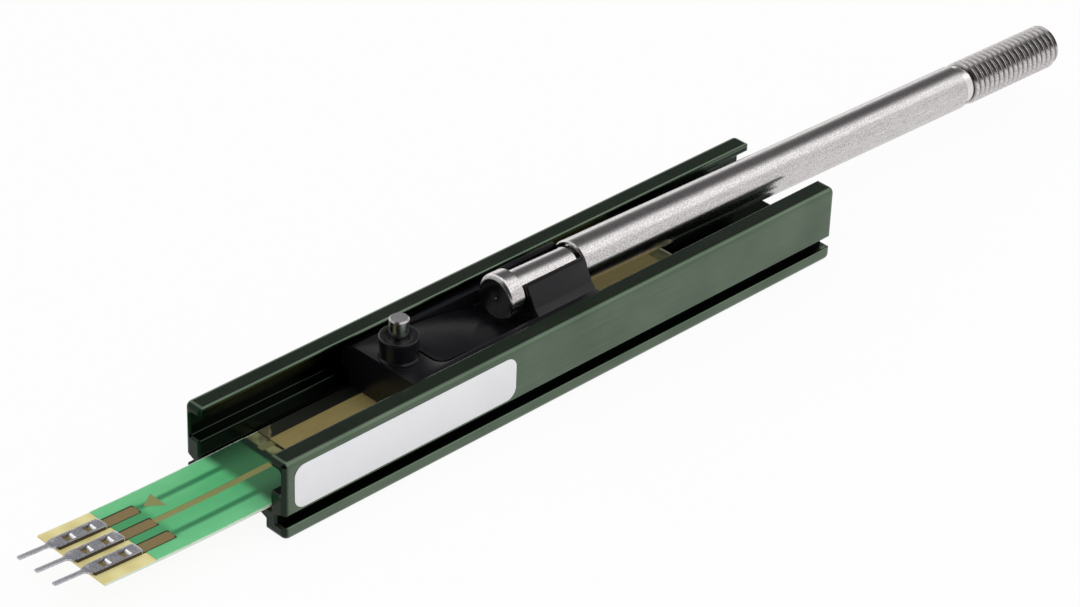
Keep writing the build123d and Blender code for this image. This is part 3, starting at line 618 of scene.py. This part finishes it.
def stainlessSteel():
    # turned and ground stainless bar, then handled: bright and speckled with fine grain, with painted shade in
    # the thread's roots, in the groove, on the shoulder chamfer and on the turned end face, and a painted
    # highlight on the undercut before the thread
    finish = steelFinish
    size = rodSizes
    material, tree, place = startMaterial("stainlessSteel", finish["shader"])
    droop = Vector(joints["rod_spin"]["axis"])
    level = addNode(tree, "Mapping", {
        "vector_type": "TEXTURE",
        "Rotation": (0, math.atan2(-droop.z, droop.x), 0),
        "Location": Vector(joints["rod_spin"]["pos_m"])}, [("Vector", place)])
    patterns = []
    for key in ("grain", "handling"):
        scales = [perMm(width) for width in finish[key]]
        sized = addNode(tree, "Mapping", {"Scale": scales}, [("Vector", level)])
        patterns.append(addNode(tree, "TexNoise", {"Scale": 1.0, "Detail": 3.0, "Roughness": 0.65},
                                [("Vector", sized)]))
    both = addNode(tree, "Math", {"operation": "MULTIPLY_ADD", 1: finish["handlingShare"]},
                   [(0, patterns[1]), (2, patterns[0])])
    tone = addNode(tree, "MapRange", fromTo(finish["contrast"], 1), [("Value", both)])
    along = addNode(tree, "SeparateXYZ", {}, [("Vector", level)]).outputs["X"]
    outwards = addNode(tree, "VectorMath", {"operation": "MULTIPLY", 1: (0, 1, 1)}, [(0, level)])
    radius = addNode(tree, "VectorMath", {"operation": "LENGTH"}, [(0, outwards)])
    deep, inFace, pastShaft = [
        addNode(tree, "MapRange", fromTo((start, full)), [("Value", source)])
        for start, full, source in (
            (finish["rootBelow"], size["rootRadius"], radius),
            (size["radius"], size["radius"] - size["headRound"], radius),
            (size["shaftEnd"] - finish["neckEdge"], size["shaftEnd"] + finish["neckEdge"], along))]
    inGroove, onChamfer = [
        addNode(tree, "Math", {"operation": "COMPARE", 1: (start + end) / 2 * mm, 2: (end - start) / 2 * mm},
                [(0, along)])
        for start, end in (
            (size["neckEnd"], size["shaftStart"]),
            (size["shaftEnd"] - size["shoulderChamfer"], size["shaftEnd"]))]
    onThread = addNode(tree, "Math", {"operation": "GREATER_THAN", 1: size["threadStart"] * mm}, [(0, along)])
    onFace = addNode(tree, "Math", {"operation": "LESS_THAN", 1: finish["faceDepth"] * mm}, [(0, along)])
    cutPlace = addNode(tree, "Math", {"operation": "MAXIMUM"}, [(0, onThread), (1, inGroove)])
    inRoot = addNode(tree, "Math", {"operation": "MULTIPLY"}, [(0, deep), (1, cutPlace)])
    # painted highlight on the undercut between the shaft and the thread
    onNeck = addNode(tree, "Math", {"operation": "SUBTRACT"}, [(0, pastShaft), (1, onThread)])
    turned = addNode(tree, "Math", {"operation": "MULTIPLY"}, [(0, onFace), (1, inFace)])
    colour = addNode(tree, "Mix", tones(finish, "steel", "steelDeep"), [(0, tone)])
    # painted shade in the roots and groove, on the chamfer and on the end face
    for mask, name in ((inRoot, "root"), (onNeck, "neck"), (onChamfer, "chamfer"), (turned, "face")):
        colour = addNode(tree, "Mix", tones(finish, name), [(0, mask), (6, colour)])
    rough = addNode(tree, "MapRange", {"To Min": finish["roughness"][0], "To Max": finish["roughness"][1]},
                    [("Value", tone)])
    return endMaterial(material, finish, colour, both, rough)


# Drive pin
dowelFinish = {
    "shader": {"Metallic": 1.0}, "ground": "#c4c1c1", "groundDeep": "#a6a3a5",
    "grain": 0.18, "facingUp": (0.9, 0.98), "roughness": (0.2, 0.5), "relief": (0.3, 0.01),
}


def groundSteel():
    # hardened dowel: near-mirror ground wall, with a duller sheared and barrelled end face
    finish = dowelFinish
    material, tree, place = startMaterial("groundSteel", finish["shader"])
    geometry = addNode(tree, "NewGeometry", {})
    normal = addNode(tree, "SeparateXYZ", {}, [("Vector", geometry.outputs["True Normal"])])
    face = addNode(tree, "MapRange", fromTo(finish["facingUp"], 1), [("Value", normal.outputs["Z"])])
    grain = addNode(tree, "TexNoise", {"Scale": perMm(finish["grain"]), "Detail": 5.0}, [("Vector", place)])
    rough = addNode(tree, "MapRange", {"To Min": finish["roughness"][0], "To Max": finish["roughness"][1]},
                    [("Value", face)])
    colour = addNode(tree, "Mix", tones(finish, "groundDeep", "ground"), [(0, grain)])
    return endMaterial(material, finish, colour, grain, rough)


# Slider
sliderFinish = {
    "shader": {"IOR": 1.5, "Specular IOR Level": 0.36}, "base": "#0b0b0e", "pale": "#121217",
    "spark": 0.09, "flow": 3.5, "roughness": (0.24, 0.34), "relief": (0.4, 0.008),
}


def blackMoulding():
    # injection-moulded black thermoplastic: dark, satin, finely spark-eroded with faint flow clouds
    finish = sliderFinish
    material, tree, place = startMaterial("blackMoulding", finish["shader"])
    spark = addNode(tree, "TexNoise", {"Scale": perMm(finish["spark"]), "Detail": 3.0}, [("Vector", place)])
    flow = addNode(tree, "TexNoise", {"Scale": perMm(finish["flow"]), "Detail": 3.0}, [("Vector", place)])
    colour = addNode(tree, "Mix", tones(finish, "pale", "base"), [(0, flow)])
    rough = addNode(tree, "MapRange", {
        "From Min": noiseSpread[0], "From Max": noiseSpread[1],
        "To Min": finish["roughness"][0], "To Max": finish["roughness"][1]}, [("Value", flow)])
    return endMaterial(material, finish, colour, spark, rough)


# Label
labelFinish = {
    "shader": {"Roughness": 0.42, "IOR": 1.5}, "face": "#f0f0f3", "tint": "#e9e9ed",
    "tooth": 0.12, "cloud": 4.0, "relief": (0.2, 0.01),
}


def labelPaper():
    # satin white polyester label, bare: nearly even white with a faint tooth from the adhesive beneath
    finish = labelFinish
    material, tree, place = startMaterial("labelPaper", finish["shader"])
    tooth = addNode(tree, "TexNoise", {"Scale": perMm(finish["tooth"]), "Detail": 3.0}, [("Vector", place)])
    cloud = addNode(tree, "TexNoise", {"Scale": perMm(finish["cloud"]), "Detail": 2.0}, [("Vector", place)])
    colour = addNode(tree, "Mix", tones(finish, "tint", "face"), [(0, cloud)])
    return endMaterial(material, finish, colour, tooth)


def finishPiece(shape, name, body, slot, sharpAngle=35):
    # bmesh to a finished object that shades smooth except across edges sharper than sharpAngle, in degrees
    bmesh.ops.recalc_face_normals(shape, faces=shape.faces)
    for face in shape.faces:
        face.smooth = True
    for edge in shape.edges:
        edge.smooth = edge.calc_face_angle(math.pi) < math.radians(sharpAngle)
    mesh = bpy.data.meshes.new(name)
    shape.to_mesh(mesh)
    shape.free()
    mesh.materials.append(finishes[slot])
    piece = bpy.data.objects.new(name, mesh)
    bpy.context.scene.collection.objects.link(piece)
    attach(piece, body)
    return piece


def spinOutline(outline, rise):
    # outline is (along the axis, radius), the axis is X, and rise is how far a full turn climbs
    shape = bmesh.new()
    steps = rodSizes["stepsRound"]
    verts = [shape.verts.new((at * mm, 0, radius * mm)) for at, radius in outline]
    edges = [shape.edges.new(pair) for pair in zip(verts, verts[1:])]
    bmesh.ops.spin(
        shape, geom=verts + edges, cent=(0, 0, 0), axis=(1, 0, 0), dvec=(rise * mm / steps, 0, 0),
        angle=2 * math.pi, steps=steps, use_merge=rise == 0, use_duplicate=False)
    bmesh.ops.remove_doubles(shape, verts=shape.verts, dist=rodSizes["weld"] * mm)
    return shape


def plainOutline(join):
    # dimpled and coned end face, rounded head, neck, groove, shaft and the undercut before the thread
    size = rodSizes
    outline = [(size["faceCone"] + size["dimple"], 0), (size["faceCone"], size["dimple"])]
    for step in range(size["roundSteps"] + 1):
        turn = math.pi / 2 * step / size["roundSteps"]
        at = size["headRound"] * (1 - math.cos(turn))
        outline.append((at, size["radius"] - size["headRound"] * (1 - math.sin(turn))))
    return outline + [
        (size["headLength"] - size["edgeChamfer"], size["radius"]),
        (size["headLength"], size["radius"] - size["edgeChamfer"]),
        (size["headLength"], size["neckRadius"]),
        (size["neckEnd"] - size["edgeChamfer"], size["neckRadius"]),
        (size["neckEnd"], size["neckRadius"] - size["edgeChamfer"]),
        (size["neckEnd"], size["grooveRadius"]),
        (size["shaftStart"], size["grooveRadius"]),
        (size["shaftStart"], size["radius"] - size["edgeChamfer"]),
        (size["shaftStart"] + size["edgeChamfer"], size["radius"]),
        (size["shaftEnd"] - size["shoulderChamfer"], size["radius"]),
        (size["shaftEnd"], size["radius"] - size["shoulderChamfer"]),
        (size["shaftEnd"], size["undercutRadius"]),
        (join, size["undercutRadius"]),
    ]


def threadOutline():
    # flat roots and slightly rounded crests, from two turns before the thread to past its end
    size = rodSizes
    rootFlat = size["pitch"] - size["crestFlat"] - 2 * size["flank"]
    turns = math.ceil((size["threadEnd"] - size["threadStart"]) / size["pitch"]) + 3
    start = size["threadStart"] - 2 * size["pitch"]
    lower = size["crestRadius"] - size["crestRound"]
    ease = size["crestRound"] / 2
    outline = []
    for turn in range(turns + 1):
        at = start + turn * size["pitch"]
        rise = at + rootFlat
        crest = rise + size["flank"]
        fall = crest + size["crestFlat"]
        outline += [
            (at, size["rootRadius"]), (rise, size["rootRadius"]),
            (crest - ease, lower), (crest + ease, size["crestRadius"]),
            (fall - ease, size["crestRadius"]), (fall + ease, lower),
        ]
    return outline


def makeThread(join):
    # spun with a rise of one pitch a turn, cut square at both ends, run out to the undercut, and chamfered
    size = rodSizes
    thread = spinOutline(threadOutline(), size["pitch"])
    chamferStart = size["threadEnd"] - size["threadChamfer"]
    for at, dropBefore, dropAfter in (
            (join, True, False), (size["threadStart"], False, False), (chamferStart, False, False),
            (size["threadEnd"], False, True)):
        bmesh.ops.bisect_plane(
            thread, geom=thread.verts[:] + thread.edges[:] + thread.faces[:], plane_co=(at * mm, 0, 0),
            plane_no=(1, 0, 0), clear_inner=dropBefore, clear_outer=dropAfter)
    for vert in thread.verts:
        at = vert.co.x / mm
        allowed = size["undercutRadius"] + max(0, at - size["threadStart"]) * size["runOut"]
        allowed = min(allowed, size["crestRadius"] - max(0, at - chamferStart))
        radius = Vector((vert.co.y, vert.co.z)).length
        wanted = size["undercutRadius"] if at < size["threadStart"] else min(radius / mm, allowed)
        vert.co.yz = vert.co.yz * (wanted * mm / radius)
    end = (size["threadEnd"] - size["endTolerance"]) * mm
    rim = [edge for edge in thread.edges if edge.is_boundary and min(vert.co.x for vert in edge.verts) > end]
    bmesh.ops.edgeloop_fill(thread, edges=rim)
    return thread


def makePullRod():
    # plain part and thread are spun apart, joined in the undercut, and laid on the rod's real axis
    size = rodSizes
    join = (size["shaftEnd"] + size["threadStart"]) / 2
    shape = spinOutline(plainOutline(join), 0)
    thread = makeThread(join)
    joined = bpy.data.meshes.new("threadOnly")
    thread.to_mesh(joined)
    thread.free()
    shape.from_mesh(joined)
    bpy.data.meshes.remove(joined)
    bmesh.ops.remove_doubles(shape, verts=shape.verts, dist=size["seam"] * mm)
    turn = Vector(joints["rod_spin"]["axis"]).to_track_quat("X", "Z").to_matrix().to_4x4()
    lay = Matrix.Translation(Vector(joints["rod_spin"]["pos_m"])) @ turn
    bmesh.ops.transform(shape, matrix=lay, verts=shape.verts)
    rod = finishPiece(shape, "pullRodTurned", "rod", "stainless_steel", size["sharpAngle"])
    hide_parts("pull_rod")


# Edge softening of moulded and stamped pieces: widths, angles in degrees, and how near vertices are merged
softEdges = {
    "slider": 0.11, "contact": 0.08, "label": 0.025, "segments": 2,
    "sharp": 32, "flat": 0.5, "weldBefore": 0.002, "weldAfter": 0.001,
}


def softenedCopy(node, name, width, body, slot):
    # a copy of the model's mesh whose sharp edges get the small rounding of the real piece
    shape = bmesh.new()
    shape.from_mesh(nodes[node].data)
    bmesh.ops.remove_doubles(shape, verts=shape.verts, dist=softEdges["weldBefore"] * mm)
    flat = math.radians(softEdges["flat"])
    bmesh.ops.dissolve_limit(shape, angle_limit=flat, verts=shape.verts, edges=shape.edges)
    sharp = [edge for edge in shape.edges if edge.calc_face_angle(0) > math.radians(softEdges["sharp"])]
    bmesh.ops.bevel(
        shape, geom=sharp, offset=width * mm, offset_type="OFFSET", affect="EDGES",
        segments=softEdges["segments"], profile=0.5, material=-1, clamp_overlap=True)
    bmesh.ops.remove_doubles(shape, verts=shape.verts, dist=softEdges["weldAfter"] * mm)
    piece = finishPiece(shape, name, body, slot)
    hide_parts(node)


# Pin mark on the tail, a triangle of bare plated copper that follows the tail's bend
markSizes = {
    "apex": (-8.73, 2.44), "baseX": -7.0, "baseHalf": 1.17, "level": 3.085, "height": 0.012,
    "bendRadius": 312.0, "corner": 0.05, "cornerSegments": 2,
}


def makePinMark():
    size = markSizes
    shape = bmesh.new()
    tipY = size["apex"][1]
    sides = (tipY - size["baseHalf"], tipY + size["baseHalf"])
    corners = [size["apex"]] + [(size["baseX"], y) for y in sides]
    shape.faces.new([shape.verts.new((x * mm, y * mm, 0)) for x, y in corners])
    bmesh.ops.bevel(
        shape, geom=shape.verts[:], offset=size["corner"] * mm, affect="VERTICES",
        segments=size["cornerSegments"], profile=0.5, material=-1)
    raised = bmesh.ops.extrude_face_region(shape, geom=shape.faces[:])
    top = [item for item in raised["geom"] if isinstance(item, bmesh.types.BMVert)]
    bmesh.ops.translate(shape, verts=top, vec=(0, 0, size["height"] * mm))
    for vert in shape.verts:
        along = vert.co.x / mm
        vert.co.z += (size["level"] + along * along / (2 * size["bendRadius"])) * mm
    finishPiece(shape, "pinMark", "base", "pad_metal")


bpy.context.scene.view_settings.view_transform = "Standard"
makeCamera()
makeWorld()
makeKey()
makeFloor()
print("camera, light and floor made")

finishes = {
    "anodised_aluminium": anodisedAluminium(),
    "board_laminate": boardLaminate(),
    "green_mask": greenMask(),
    "pad_metal": padMetal(),
    "brown_film": brownFilm(),
    "tinned_contact": tinnedContact(),
    "stainless_steel": stainlessSteel(),
    "ground_steel": groundSteel(),
    "black_moulding": blackMoulding(),
    "label_paper": labelPaper(),
}
for slot, values in plainFinishes.items():
    finishes[slot] = plainFinish(*values)
for subpart in frame["record"]["subparts"]:
    mesh = nodes[subpart["node"]].data
    mesh.materials.clear()
    mesh.materials.append(finishes[subpart["material_slot"]])
print("materials made and assigned")

makePullRod()
softenedCopy("slider", "sliderMoulded", softEdges["slider"], "carriage", "black_moulding")
for number in (1, 2, 3):
    softenedCopy(
        f"contact_{number}", f"contactStamped{number}", softEdges["contact"], "base", "tinned_contact")
softenedCopy("label", "labelCut", softEdges["label"], "base", "label_paper")
makePinMark()
print("rod, slider, contacts, label and pin mark made")
